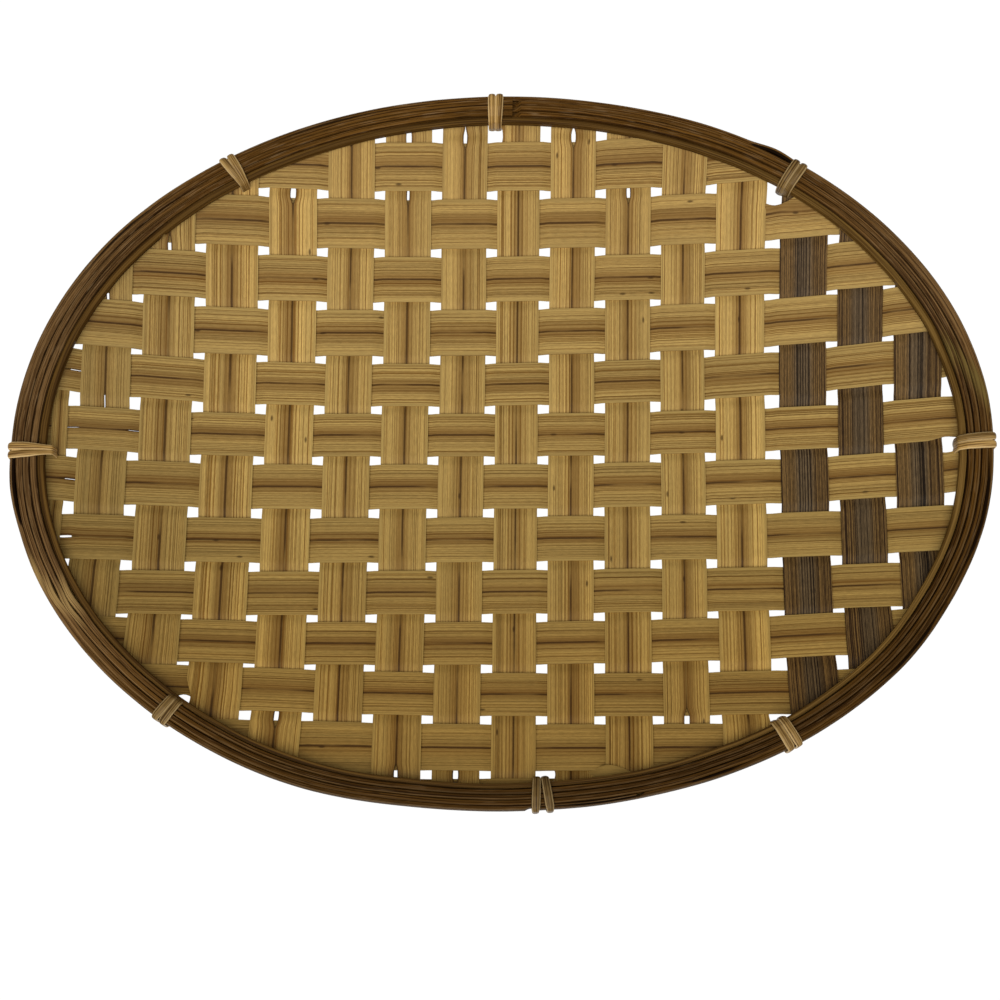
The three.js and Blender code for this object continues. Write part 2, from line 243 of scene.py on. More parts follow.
off_middle = add("Math/ABSOLUTE", grid_x)
quarter_turn = add("MapRange", off_middle, HALF_COLUMN, 0.5, 0, math.pi / 2)
share_across = add("Math/SINE", quarter_turn)
half_width = add("Math/MULTIPLY", given["Width"], 0.5)
signed_half = add("Math/MULTIPLY", side, half_width)
lane = add("Math/MULTIPLY_ADD", share_across, signed_half, given["Lane Middle"])

# Its two ends, where its bowed and leaning lane meets the oval: the roots of a square equation
bend = add("Math/MULTIPLY_ADD", given["Spread"], lane, given["Bow"])
across_square = add("Math/POWER", given["Across Half"], -2)
along_square = add("Math/POWER", given["Along Half"], -2)
lane_weight = add("Math/MULTIPLY", lane, across_square)
lane_twice = add("Math/MULTIPLY", lane_weight, 2)
square_part = add("Math/MULTIPLY_ADD", lane_twice, bend, along_square)
even_part = add("Math/MULTIPLY", lane_weight, given["Lean"])
flat_part = add("Math/MULTIPLY_ADD", lane_weight, lane, -1)
even_share = add("Math/DIVIDE", even_part, square_part)
flat_share = add("Math/DIVIDE", flat_part, square_part)
even_square = add("Math/POWER", even_share, 2)
half_run = add("Math/SQRT", add("Math/SUBTRACT", even_square, flat_share))
twice = add("Math/MULTIPLY", grid_y, 2)
run = add("Math/MULTIPLY", twice, half_run)
along = add("Math/SUBTRACT", run, even_share)
along_2 = add("Math/POWER", along, 2)
leaning = add("Math/MULTIPLY", given["Lean"], along)
off_straight = add("Math/MULTIPLY_ADD", bend, along_2, leaning)
bowed = add("Math/ADD", lane, off_straight)

# Where it is among the hole lines that it crosses
bowed_2 = add("Math/POWER", bowed, 2)
crossed_lean = add("Math/MULTIPLY", given["Crossed Lean"], bowed)
crossed_bow = add("Math/MULTIPLY_ADD", given["Crossed Bow"], bowed_2, crossed_lean)
crossed_spread = add("Math/MULTIPLY_ADD", given["Crossed Spread"], bowed_2, 1)
unbowed = add("Math/SUBTRACT", along, crossed_bow)
crossed_lane = add("Math/DIVIDE", unbowed, crossed_spread)
nearest = add("SampleNearest", given["Geometry"], add("CombineXYZ", {"Y": crossed_lane}))
line = add("SampleIndex", given["Geometry"], position, nearest, data_type="FLOAT_VECTOR")
_, line_place, line_slit = add("SeparateXYZ", line).outputs
past_line = add("Math/SUBTRACT", crossed_lane, line_place)
before = add("Math/MULTIPLY", given["Ramp"], -1)
swing = add("MapRange", past_line, before, given["Ramp"], 1, -1, **SMOOTH)
odd = add("Math/MODULO", nearest, 2)
turn_about = add("Math/MULTIPLY_ADD", odd, -2, 1)
first = add("Math/MULTIPLY", turn_about, given["First Side"])
over = add("Math/MULTIPLY", first, swing)

# Its split opens to a slit between two crossing splints
SLIT_RUN = (1 * MM, 5 * MM)
CLOSED_SPLIT = 0.04 * MM
OPEN_SPLIT = 0.05 * MM
off_line = add("Math/ABSOLUTE", past_line)
lens = add("MapRange", off_line, *SLIT_RUN, line_slit, 0, **SMOOTH)
gape = add("Math/MAXIMUM", lens, CLOSED_SPLIT)
off_lane = add("MapRange", share_across, 0, 1, gape, half_width)

# Its end spreads until it meets its neighbours under the rim
END_SPREAD_RUN = (4.5 * MM, 8 * MM)
end_gap = add("Math/ABSOLUTE", twice)
end_left = add("Math/SUBTRACT", 1, end_gap)
end_run = add("Math/MULTIPLY", end_left, half_run)
end_spread = add("MapRange", end_run, *END_SPREAD_RUN, given["End Spread"], 0, **SMOOTH)
spread_share = add("Math/MULTIPLY", end_spread, share_across)
spread_lane = add("Math/ADD", off_lane, spread_share)
off_side = add("Math/MULTIPLY", spread_lane, side)
gaped_lane = add("Math/ADD", off_side, given["Lane Middle"])

# It wavers a little, as a splint cut by hand does
WAVES_TO_A_METRE = 14
waver_place = add("CombineXYZ", along, given["Seed"])
waver_waves = {"Vector": waver_place, "Scale": WAVES_TO_A_METRE, "Detail": 1}
waver = add("TexNoise", waver_waves, noise_dimensions="2D")
waver_size = add("Math/MULTIPLY", given["Waver"], 2)
waver_middle = add("Math/SUBTRACT", waver, 0.5)
wavered = add("Math/MULTIPLY_ADD", waver_middle, waver_size, gaped_lane)
lateral = add("Math/ADD", wavered, off_straight)

# Its height on the dished floor
CROWN_POWER = 6
radius = add("VectorMath/LENGTH", add("CombineXYZ", lateral, along))
share_x = add("Math/DIVIDE", lateral, given["Across Half"])
share_y = add("Math/DIVIDE", along, given["Along Half"])
oval_share = add("VectorMath/LENGTH", add("CombineXYZ", share_x, share_y))
reach = add("Math/DIVIDE", radius, oval_share)
inside = add("Math/SUBTRACT", reach, radius)
rise = add("MapRange", inside, 0, given["Rise Run"], 1, 0)
risen = add("Math/POWER", rise, given["Rise Power"])
floor_height = add("Math/MULTIPLY_ADD", risen, given["Edge Rise"], given["Middle Height"])
stepped = add("Math/MULTIPLY_ADD", over, given["Step"], floor_height)
crown_share = add("Math/POWER", share_across, CROWN_POWER)
crown = add("Math/MULTIPLY", crown_share, given["Crown"])
height = add("Math/SUBTRACT", stepped, crown)
warp_place = add("CombineXYZ", lateral, along, height)
weft_place = add("CombineXYZ", along, lateral, height)
true_place = add("Switch", given["Along X"], warp_place, weft_place, input_type="VECTOR")

# Its ends go with the rim where that stands off the true oval
RIM_RUN = (0, 20 * MM)
round_place = add("VectorMath/DIVIDE", true_place, given["Tray Size"])
round_x, round_y, _ = add("SeparateXYZ", round_place).outputs
step_out = add("Group", add("Math/ARCTAN2", round_y, round_x), node_tree=stand_off)
near_rim = add("MapRange", inside, *RIM_RUN, step_out, 0)
trimmed = add("Math/MINIMUM", inside, 0)
end_step = add("Math/ADD", near_rim, trimmed)
outwards = add("VectorMath/MULTIPLY", true_place, (1, 1, 0))
direction = add("VectorMath/NORMALIZE", outwards)
ended = add("VectorMath/ADD", true_place, add("VectorMath/SCALE", direction, end_step))

# The lashing that goes down beside it pushes its side away
off_push = add("VectorMath/DISTANCE", outwards, given["Push Place"])
push_share = add("MapRange", off_push, 0, given["Push Reach"], 1, 0, **SMOOTH)
push = add("VectorMath/SCALE", given["Push Step"], push_share)
placed = add("VectorMath/ADD", ended, push)

# Its map for the fibres: across from -1 to 1, along in millimetres, each splint on a stretch of its own
TO_MM = 1000
signed_share = add("Math/MULTIPLY", share_across, side)
push_x, push_y, _ = add("SeparateXYZ", push).outputs
push_map = add("Math/DIVIDE", add("Math/ADD", push_x, push_y), half_width)
across_map = add("Math/ADD", signed_share, push_map)
stretch = add("Math/ADD", given["Seed"], 0.5)
stretch_mm = add("Math/MULTIPLY", stretch, STRETCH)
along_mm = add("Math/MULTIPLY_ADD", along, TO_MM, stretch_mm)
fibre_map = add("CombineXYZ", across_map, along_mm)
ON_CORNERS = {"data_type": "FLOAT2", "domain": "CORNER"}
mapped = add("StoreNamedAttribute", {"Geometry": grid, "Name": "fibre", "Value": fibre_map}, **ON_CORNERS)
toned = add("StoreNamedAttribute", {"Geometry": mapped, "Name": "tone", "Value": given["Tone"]})
in_split = add("Compare/LESS_THAN", off_middle, HALF_COLUMN / 2)
gapes = add("Compare/GREATER_THAN", lens, OPEN_SPLIT)
split = add("DeleteGeometry", toned, add("BooleanMath/AND", in_split, gapes), domain="FACE")
shaped = add("SetPosition", {"Geometry": split, "Position": placed})


def end_tree(geometry, material):
    """Closes a geometry tree: smooth faces, real geometry and the piece's material."""
    real = add("RealizeInstances", add("SetShadeSmooth", geometry))
    add("GroupOutput", add("SetMaterial", {"Geometry": real, "Material": material}))


end_tree(shaped, given["Material"])
woven_splint = tree

# The courses of the splints: the wefts bow, the warps spread, and both lean a little. The weave sits a
# little to the right of the rim's middle and nearer.
WEFT_BOW = 3.4 * MM / HALF_LENGTH ** 2
WEFT_LEAN = 0.8 * MM / HALF_LENGTH
WARP_SPREAD = 2 * MM / HALF_LENGTH / HALF_WIDTH ** 2
WARP_LEAN = 2.1 * MM / HALF_WIDTH
WEAVE_SHIFT = Vector((0.3, -0.4)) * MM
MIDDLE_BAND = 12 * MM
WARP_NAMES = ["warp_splint_left_edge"] + [f"warp_splint_{i:02d}" for i in range(1, 16)]
WEFT_NAMES = ["weft_splint_near_edge"] + [f"weft_splint_{i:02d}" for i in range(1, 13)]


def span_at_middle(name, across, lean):
    """The two sides of a splint where it crosses the tray's middle, along axis 0 or 1."""
    corners = [v.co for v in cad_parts[name].data.vertices]
    sides = [c[across] - lean * c[1 - across] for c in corners if abs(c[1 - across]) < MIDDLE_BAND]
    return min(sides) + WEAVE_SHIFT[across], max(sides) + WEAVE_SHIFT[across]


def hole_lines(spans):
    """The lines along which the holes lie: half way between neighbouring splints, and past the last."""
    lines = [(a[1] + b[0]) / 2 for a, b in zip(spans, spans[1:])]
    return lines + [spans[-1][1] + lines[0] - spans[0][1]]


warp_spans = [span_at_middle(name, 0, WARP_LEAN) for name in WARP_NAMES]
weft_spans = [span_at_middle(name, 1, WEFT_LEAN) for name in WEFT_NAMES]
warp_lines = hole_lines(warp_spans)
weft_lines = hole_lines(weft_spans)

# The splint at the left edge is a narrow offcut, and the last bare warp was split narrower
LEFT_EDGE_WIDTH = 5.6 * MM
SPLIT_NARROWER = 1.5 * MM
BARE_WARPS = 13
warp_spans[0] = (warp_spans[0][1] - LEFT_EDGE_WIDTH, warp_spans[0][1])
last_bare = warp_spans[BARE_WARPS - 1]
warp_spans[BARE_WARPS - 1] = (last_bare[0], last_bare[1] - SPLIT_NARROWER)

# Woven by hand, a few splints run out of true: how far they lean to the far side at the tray's right end,
# and how far they bow to it at both ends, in millimetres
OUT_OF_TRUE = {"weft_splint_01": (-3, 0), "weft_splint_02": (-3, 0), "weft_splint_04": (0, -3),
               "weft_splint_05": (0, -2), "weft_splint_08": (1, 4), "weft_splint_09": (1, 2)}


def out_of_true(names, share):
    """How far splints lie off their even courses, on average, at a share of the way to their ends."""
    steps = [OUT_OF_TRUE.get(name, (0, 0)) for name in names]
    return sum(lean * share + bow * share ** 2 for lean, bow in steps) / len(steps) * MM


# The slits in the weave: by splint, the number of the hole line and half the slit's width in millimetres
SLITS = {
    "warp_splint_01": {9: 0.4, 7: 0.15}, "warp_splint_02": {10: 0.6}, "warp_splint_04": {11: 1.0, 1: 0.8},
    "warp_splint_06": {12: 1.0, 11: 0.45, 0: 0.6}, "warp_splint_07": {12: 0.65, 0: 0.9},
    "warp_splint_09": {12: 0.8}, "warp_splint_10": {11: 0.65}, "warp_splint_11": {1: 0.9},
    "weft_splint_05": {0: 0.5}, "weft_splint_06": {0: 0.2}, "weft_splint_07": {0: 0.15, 1: 0.15},
    "weft_splint_08": {0: 0.2}}

# The splints that are pushed aside, most of them by a lashing: where, by how much and how far that
# reaches, in millimetres
PUSHED = {
    "warp_splint_08": ((-1, 122), (1.8, 0), 9), "warp_splint_09": ((15.4, -121), (3.0, 0), 9),
    "warp_splint_12": ((98.6, -99.5), (-2.1, 0), 8), "warp_splint_03": ((-114.3, -92), (2.2, 0), 8),
    "weft_splint_11": ((104, 99.9), (0, -6.8), 15), "weft_splint_06": ((165, -0.6), (0, -1.7), 8),
    "weft_splint_07": ((165, 2.7), (0, 1.2), 8), "weft_splint_02": ((-114, -97.5), (0, 6), 10),
    "weft_splint_01": ((-49, -119.5), (0, -4), 9), "weft_splint_near_edge": ((38, -122), (0, 4.4), 14)}

# The wefts are a little darker than the warps, and a few warps stand out as paler or darker
WARP_TONE = 1.03
WEFT_TONE = 0.9
ODD_TONES = {"warp_splint_01": 0.9, "warp_splint_03": 1.2, "warp_splint_04": 1.2, "warp_splint_09": 1.1,
             "warp_splint_12": 1.2, "warp_splint_13": 0.94, "warp_splint_14": 0.94, "warp_splint_15": 0.94}


SHARP_FROM = math.radians(40)


def grow(name, points, edges, shape, values, thickness=0):
    """Runs a geometry tree on a few points, keeps the plain mesh and lets it stand for its CAD node."""
    mesh = bpy.data.meshes.new(name)
    mesh.from_pydata(points, edges, [])
    piece = bpy.data.objects.new(f"{name}.look", mesh)
    bpy.context.scene.collection.objects.link(piece)
    nodes = piece.modifiers.new("nodes", "NODES")
    nodes.node_group = shape
    for item in shape.interface.items_tree:
        if item.in_out == "INPUT" and item.name in values:
            nodes[item.identifier] = values[item.name]
    if thickness:
        solidify = piece.modifiers.new("thickness", "SOLIDIFY")
        solidify.thickness = thickness
        solidify.offset = 0
    grown = piece.evaluated_get(bpy.context.evaluated_depsgraph_get())
    piece.data = bpy.data.meshes.new_from_object(grown)
    piece.modifiers.clear()
    piece.data.set_sharp_from_angle(angle=SHARP_FROM)
    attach(piece, "root")
    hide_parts(name)


CUT_INSET = 0.9 * MM
SPLINT_THICKNESS = 0.9 * MM
FIRST_WARP_SEED = 1
FIRST_WEFT_SEED = 21


def weave_splint(name, i, along_x, material):
    """One splint of the floor, from its lane and the hole lines that it crosses."""
    across_half = HALF_WIDTH if along_x else HALF_LENGTH
    along_half = HALF_LENGTH if along_x else HALF_WIDTH
    span = weft_spans[i] if along_x else warp_spans[i]
    lane_middle = (span[0] + span[1]) / 2
    lean, bow = OUT_OF_TRUE.get(name, (0, 0))
    push_place, push_step, push_reach = PUSHED.get(name, ((0, 0), (0, 0), 1))
    values = {
        "Lane Middle": lane_middle, "Width": span[1] - span[0],
        "Across Half": across_half - CUT_INSET, "Along Half": along_half - CUT_INSET,
        "Bow": (WEFT_BOW if along_x else 0.0) + bow * MM / along_half ** 2,
        "Spread": 0.0 if along_x else WARP_SPREAD,
        "Lean": (WEFT_LEAN if along_x else WARP_LEAN) + lean * MM / along_half,
        "Crossed Bow": 0.0 if along_x else WEFT_BOW, "Crossed Spread": WARP_SPREAD if along_x else 0.0,
        "Crossed Lean": WARP_LEAN if along_x else WEFT_LEAN,
        "First Side": 1.0 if (i % 2 == 0) == along_x else -1.0,
        "Step": 0.5 * MM, "Ramp": 2.0 * MM, "Edge Rise": 12 * MM, "Rise Run": 95 * MM, "Rise Power": 2.0,
        "Middle Height": 1.05 * MM, "Crown": 0.15 * MM, "Waver": 0.3 * MM, "End Spread": 2.2 * MM,
        "Push Place": (push_place[0] * MM, push_place[1] * MM, 0),
        "Push Step": (push_step[0] * MM, push_step[1] * MM, 0), "Push Reach": push_reach * MM,
        "Seed": float(i + (FIRST_WEFT_SEED if along_x else FIRST_WARP_SEED)), "Along X": along_x,
        "Tone": ODD_TONES.get(name, WEFT_TONE if along_x else WARP_TONE),
        "Tray Size": (HALF_LENGTH, HALF_WIDTH, 1), "Material": material}
    slits = SLITS.get(name, {})
    crossed = WARP_NAMES if along_x else WEFT_NAMES
    points = [(0, line + out_of_true(crossed[k:k + 2], lane_middle / across_half), slits.get(k, 0) * MM)
              for k, line in enumerate(warp_lines if along_x else weft_lines)]
    grow(name, points, [], woven_splint, values, SPLINT_THICKNESS)


for i, name in enumerate(WARP_NAMES[:BARE_WARPS]):
    weave_splint(name, i, False, bare_bamboo)
for i, name in enumerate(WEFT_NAMES):
    weave_splint(name, i, True, bare_bamboo)

# Stained splints of the floor
# Three splints at the right end are the same bamboo, stained dark before weaving, and woven in alike.
# The stain takes unevenly, so they are streaked from near black to grey brown along the fibres.
stained_bamboo, tree, uv = new_material("stained_bamboo")
across, _, _ = add("SeparateXYZ", uv).outputs
from_middle = add("Math/ABSOLUTE", across)
lines = streaks(28, 0.003, 3, 0.75)
line_share = add("MapRange", lines, 0.4, 0.58, **SMOOTH)
warm_colour = add("Mix", line_share, "#271606", "#765a34", **RGBA)
grey_colour = add("Mix", line_share, "#1a1006", "#66543e", **RGBA)
streaked = overlay(warm_colour, grey_colour, from_middle, 0.2, 0.55, 0.9, 0)
pore_tone = add("MapRange", streaks(32, 0.35, 2, 0.7), 0.3, 0.7, 0.66, 1.34)
own_tone = add("Attribute", attribute_name="tone").outputs["Fac"]
toned = add("VectorMath/SCALE", streaked, add("Math/MULTIPLY", pore_tone, own_tone))
# Painted shade: the colour is tinted darker and browner towards the near side and the left end.
shade_painted = add("Group", toned, node_tree=painted_shade)
relief = add("Bump", {"Height": lines, "Distance": 0.2 * MM, "Strength": 0.4})
end_material(shade_painted, 0.55, 0.1, Normal=relief)

for i, name in enumerate(WARP_NAMES[BARE_WARPS:], BARE_WARPS):
    weave_splint(name, i, False, stained_bamboo)

# Hoops of the rim
# Four bamboo strips, stained dark and bent round the oval: one outside the cut ends of the weave and three
# slender ones side by side on top of it. Each is lapped under a lashing, and only the lashings hold them.

# Dark bamboo: near-black and brown fibres with little shine, under fine lines and dashes
dark_bamboo, tree, uv = new_material("dark_bamboo")
fibres = streaks(2.8, 0.009, 4, 0.7)
fibre_share = add("MapRange", fibres, 0.38, 0.62, **SMOOTH)
fibre_colour = add("Mix", fibre_share, "#2d1804", "#664519", **RGBA)

# The strips are painted darker along the near side, a painted shade where less light falls, and turn a grey
# brown at the two ends, mostly away from the near side. The shaded side lies a little to the right.
SLANT = -0.35
spot_x, spot_y, _ = add("SeparateXYZ", add("TexCoord").outputs["Object"]).outputs
near_side = add("Math/MULTIPLY_ADD", spot_x, SLANT, spot_y)
near_shade = add("MapRange", near_side, -110 * MM, 0, 0.6, 1.05, **SMOOTH)
to_end = add("Math/ABSOLUTE", spot_x)
end_grey_most = add("MapRange", near_side, -70 * MM, -10 * MM, 0, 0.55)
end_grey_colour = add("Mix", fibre_share, "#3f2a15", "#7a5f3e", **RGBA)
end_greyed = overlay(fibre_colour, end_grey_colour, to_end, 100 * MM, 165 * MM, 0, end_grey_most)

# The outer strip is painted greyer along its outer edge, a painted highlight where that edge catches the
# light. It lies first on the map, where each strip has a stretch.
STRIP_STRETCH = 2000
section_side = add("Attribute", attribute_name="side").outputs["Fac"]
_, along, _ = add("SeparateXYZ", uv).outputs
outermost = add("Math/LESS_THAN", along, 2 * STRIP_STRETCH)
edge_light_most = add("Math/MULTIPLY", outermost, 0.6)
edge_lit = overlay(end_greyed, "#6b5842", section_side, -0.75, -0.3, edge_light_most, 0)

# Painted shade: each strip has a dark line along its inner edge, the shade in the groove beside it, broad
# where the strip stands off the next one and faint along the far side; and thin pale lines, painted
# highlights on the edges
NEAR_TO_FAR = (-50 * MM, 100 * MM)
HIGHLIGHT_LINE_AT = -0.5
gap = add("Attribute", attribute_name="gap").outputs["Fac"]
shade_line_start = add("Math/MULTIPLY_ADD", gap, -0.9, 0.66)
shade_line_full = add("Math/MULTIPLY_ADD", gap, -0.8, 0.88)
shade_line_most = add("MapRange", near_side, *NEAR_TO_FAR, 0.85, 0.4)
gap_shade_most = add("Math/MAXIMUM", shade_line_most, gap)
line_share = add("MapRange", section_side, shade_line_start, shade_line_full, 0, gap_shade_most, **SMOOTH)
# Painted highlights: thin pale lines where the strip edges catch the light, stronger along the near side
from_highlight = add("Math/ABSOLUTE", add("Math/SUBTRACT", section_side, HIGHLIGHT_LINE_AT))
highlight_top = add("MapRange", near_side, *NEAR_TO_FAR, 0.7, 0.35)
thin_most = add("MapRange", streaks(1.9, 0.004, 3, 0.7), 0.42, 0.6, 0, highlight_top)
thin_lines = overlay(edge_lit, "#8a6c44", from_highlight, 0.05, 0.26, thin_most, 0)

# Bands, and dashes where the skin has flaked or been scraped
band_tone = add("MapRange", streaks(0.3, 0.015, 2), 0.3, 0.7, 0.84, 1.14)
toned = add("VectorMath/SCALE", thin_lines, add("Math/MULTIPLY", band_tone, near_shade))
dashes = streaks(2.4, 0.09, 2)
flake_most = add("MapRange", near_side, *NEAR_TO_FAR, 0.3, 0.75)
pale_dashes = overlay(toned, "#7a6040", dashes, 0.6, 0.7, 0, flake_most, "LINEAR")
dark_dashes = overlay(pale_dashes, "#1d1004", dashes, 0.26, 0.36, 0.7, 0, "LINEAR")

# The knuckles are pale at the left end and olive at the right end, and the painted groove shade is fainter
# there
knuckle = add("Attribute", attribute_name="knuckle").outputs["Fac"]
knuckle_most = add("MapRange", fibre_share, 0, 0.6, 0.15, 1)
knuckle_share = add("Math/MULTIPLY", knuckle, knuckle_most)
right_end = add("Math/GREATER_THAN", spot_x, 0)
knuckle_colour = add("Mix", right_end, "#a08250", "#6f5c2f", **RGBA)
knuckled = add("Mix", knuckle_share, dark_dashes, knuckle_colour, **RGBA)
shade_line_left = add("Math/MULTIPLY_ADD", knuckle, -0.7, 1)
shade_line_kept = add("Math/MULTIPLY", line_share, shade_line_left)
# Painted shade: the dark line in the grooves between the strips
groove_shaded = add("Mix", shade_line_kept, knuckled, "#150a02", **RGBA)
relief = add("Bump", {"Height": fibres, "Distance": 0.3 * MM, "Strength": 0.5})
end_material(groove_shaded, 0.6, 0.03, Normal=relief)

# The strip's shape: a round-edged bar bent round the oval, its ends thinned to lap. Its points are the
# places where it stands off the oval: the angle, the reach and by how much.
AROUND = 25
LENGTHWISE = 900
ONE_ROW = 1 / (LENGTHWISE - 1)
tree, given = new_group(
    "bent_strip", "Geometry", "Geometry", Geometry=["Geometry"], Material=["Material"],
    Float=["Half Length", "Half Width", "Lap Start", "Lap", "Shoulder", "Outer Side", "Inner Side", "Bottom",
           "Top", "First Inner Side", "First Bottom", "Last Outer Side", "Last Top", "Lift", "Shared Waver",
           "Own Waver", "Knuckle 1", "Knuckle 2", "Knuckle Reach", "Knuckle Swell", "Broader Ends", "Gap At",
           "Seed"])
grid = add("MeshGrid", 1, 1, AROUND, LENGTHWISE)
position = add("InputPosition")
grid_x, grid_y, _ = add("SeparateXYZ", position).outputs
section_turn = add("Math/MULTIPLY", grid_x, math.tau)
full_turn = add("Math/ADD", given["Lap Start"], math.tau)
strip_start = add("Math/ADD", given["Lap Start"], given["Shoulder"])
lap_end = add("Math/ADD", full_turn, given["Lap"])
strip_end = add("Math/SUBTRACT", lap_end, given["Shoulder"])
angle = add("MapRange", grid_y, ONE_ROW - 0.5, 0.5 - ONE_ROW, strip_start, strip_end)
end_row = add("Math/ABSOLUTE", grid_y)
body = add("Math/LESS_THAN", end_row, 0.5 - ONE_ROW / 2)
sine = add("Math/SINE", angle)
cosine = add("Math/COSINE", angle)

# The lap: each end keeps a part of the section
first_lap = add("Math/ADD", given["Lap Start"], given["Lap"])
first_shoulder = add("Math/ADD", first_lap, given["Shoulder"])
last_shoulder = add("Math/SUBTRACT", full_turn, given["Shoulder"])
first_run = (angle, first_lap, first_shoulder)
last_run = (angle, last_shoulder, full_turn)
inner_side = add("MapRange", *first_run, given["First Inner Side"], given["Inner Side"])
bottom = add("MapRange", *first_run, given["First Bottom"], given["Bottom"])
outer_side = add("MapRange", *last_run, given["Outer Side"], given["Last Outer Side"])
top = add("MapRange", *last_run, given["Top"], given["Last Top"])
lift = add("MapRange", angle, strip_start, first_lap, given["Lift"], 0, **SMOOTH)

# Its knuckles, where the bamboo's joints were
angle_round = add("Math/MODULO", angle, math.tau)
knuckle_gaps = []
for label in ("Knuckle 1", "Knuckle 2"):
    past_knuckle = add("Math/SUBTRACT", angle_round, given[label])
    knuckle_gaps.append(add("Math/ABSOLUTE", past_knuckle))
knuckle_gap = add("Math/MINIMUM", *knuckle_gaps)
knuckle = add("MapRange", knuckle_gap, 0, given["Knuckle Reach"], 1, 0, **SMOOTH)
swell = add("Math/MULTIPLY", knuckle, given["Knuckle Swell"])

# Its section, a rectangle with rounded corners, rounder along the near side
section = {}
section_place = {}
corner_power = add("MapRange", sine, -0.8, 0.6, 0.4, 0.22)
for axis, operation, low, high in (("X", "COSINE", outer_side, inner_side), ("Z", "SINE", bottom, top)):
    wave = add(f"Math/{operation}", section_turn)
    squared = add("Math/POWER", add("Math/ABSOLUTE", wave), corner_power)
    signed = add("Math/MULTIPLY", squared, add("Math/SIGN", wave))
    section[axis] = add("Math/MULTIPLY", signed, body)
    middle = add("Math/MULTIPLY", add("Math/ADD", low, high), 0.5)
    half = add("Math/MULTIPLY", add("Math/SUBTRACT", high, low), 0.5)
    section_place[axis] = add("Math/MULTIPLY_ADD", section[axis], half, middle)
inset = section_place["X"]
height = section_place["Z"]

# Its course: farther in at the two ends of the tray, wavering partly with the other strips, partly alone
SHARED_WAVES = 4
OWN_WAVES = 6
end_share = add("Math/COSINE", add("Math/MULTIPLY", angle, 2))
broader = add("Math/MULTIPLY_ADD", end_share, given["Broader Ends"], 1)
broad_inset = add("Math/MULTIPLY", inset, broader)
shared_place = add("CombineXYZ", cosine, sine)
shared_noise = add("TexNoise", {"Vector": shared_place, "Scale": SHARED_WAVES, "Detail": 2})
shared_middle = add("Math/SUBTRACT", shared_noise, 0.5)
shared_waver = add("Math/MULTIPLY_ADD", shared_middle, given["Shared Waver"], broad_inset)
own_place = add("CombineXYZ", cosine, sine, given["Seed"])
own_noise = add("TexNoise", {"Vector": own_place, "Scale": OWN_WAVES, "Detail": 2})
own_wavers = []
for part in add("SeparateXYZ", own_noise.outputs["Color"]).outputs[:2]:
    centred = add("Math/SUBTRACT", part, 0.5)
    own_wavers.append(add("Math/MULTIPLY", centred, given["Own Waver"]))
wavered = add("Math/ADD", shared_waver, own_wavers[0])

# Where it bulges, and where the whole rim stands off the oval
nearest = add("SampleNearest", given["Geometry"], add("CombineXYZ", angle_round))
bulge = add("SampleIndex", given["Geometry"], position, nearest, data_type="FLOAT_VECTOR")
bulge_angle, bulge_reach, bulge_step = add("SeparateXYZ", bulge).outputs
off_bulge = add("Math/ABSOLUTE", add("Math/SUBTRACT", angle_round, bulge_angle))
bulging = add("MapRange", off_bulge, 0, bulge_reach, bulge_step, 0, **SMOOTH)
step_out = add("Group", angle, node_tree=stand_off)
course = add("Math/SUBTRACT", wavered, add("Math/ADD", bulging, step_out))
lifted = add("Math/ADD", height, lift)
swollen = add("Math/ADD", lifted, swell)
top_height = add("Math/ADD", swollen, own_wavers[1])

# From the oval's angle, the step in from it and the height to a place
normal_x = add("Math/DIVIDE", cosine, given["Half Length"])
normal_y = add("Math/DIVIDE", sine, given["Half Width"])
normal = add("VectorMath/NORMALIZE", add("CombineXYZ", normal_x, normal_y))
oval_x = add("Math/MULTIPLY", cosine, given["Half Length"])
oval_y = add("Math/MULTIPLY", sine, given["Half Width"])
oval_place = add("CombineXYZ", oval_x, oval_y, top_height)
outwards = add("Math/MULTIPLY", course, -1)
placed = add("VectorMath/ADD", oval_place, add("VectorMath/SCALE", normal, outwards))

# Its map for the fibres: round the section and along the strip, in millimetres
MEAN_RADIUS_MM = 158
HEIGHT_SHARE = 0.7
WELD_DISTANCE = 0.001 * MM
round_mm = add("Math/MULTIPLY", inset, TO_MM)
height_mm = add("Math/MULTIPLY_ADD", height, HEIGHT_SHARE * TO_MM, round_mm)
stretch = add("Math/MULTIPLY", given["Seed"], STRIP_STRETCH)
along_mm = add("Math/MULTIPLY_ADD", angle, MEAN_RADIUS_MM, stretch)
fibre_map = add("CombineXYZ", height_mm, along_mm)
marked = add("StoreNamedAttribute", {"Geometry": grid, "Name": "fibre", "Value": fibre_map}, **ON_CORNERS)
gap = add("MapRange", bulging, 0, given["Gap At"], 0, 1)
for name, value in {"knuckle": knuckle, "side": section["X"], "gap": gap}.items():
    marked = add("StoreNamedAttribute", {"Geometry": marked, "Name": name, "Value": value})
shaped = add("SetPosition", {"Geometry": marked, "Position": placed})
closed = add("MergeByDistance", {"Geometry": shaped, "Distance": WELD_DISTANCE})
end_tree(closed, given["Material"])
bent_strip = tree

BROADER_ENDS = 0.11
KNUCKLE_DEGREES = 5
NO_GAP = 1000


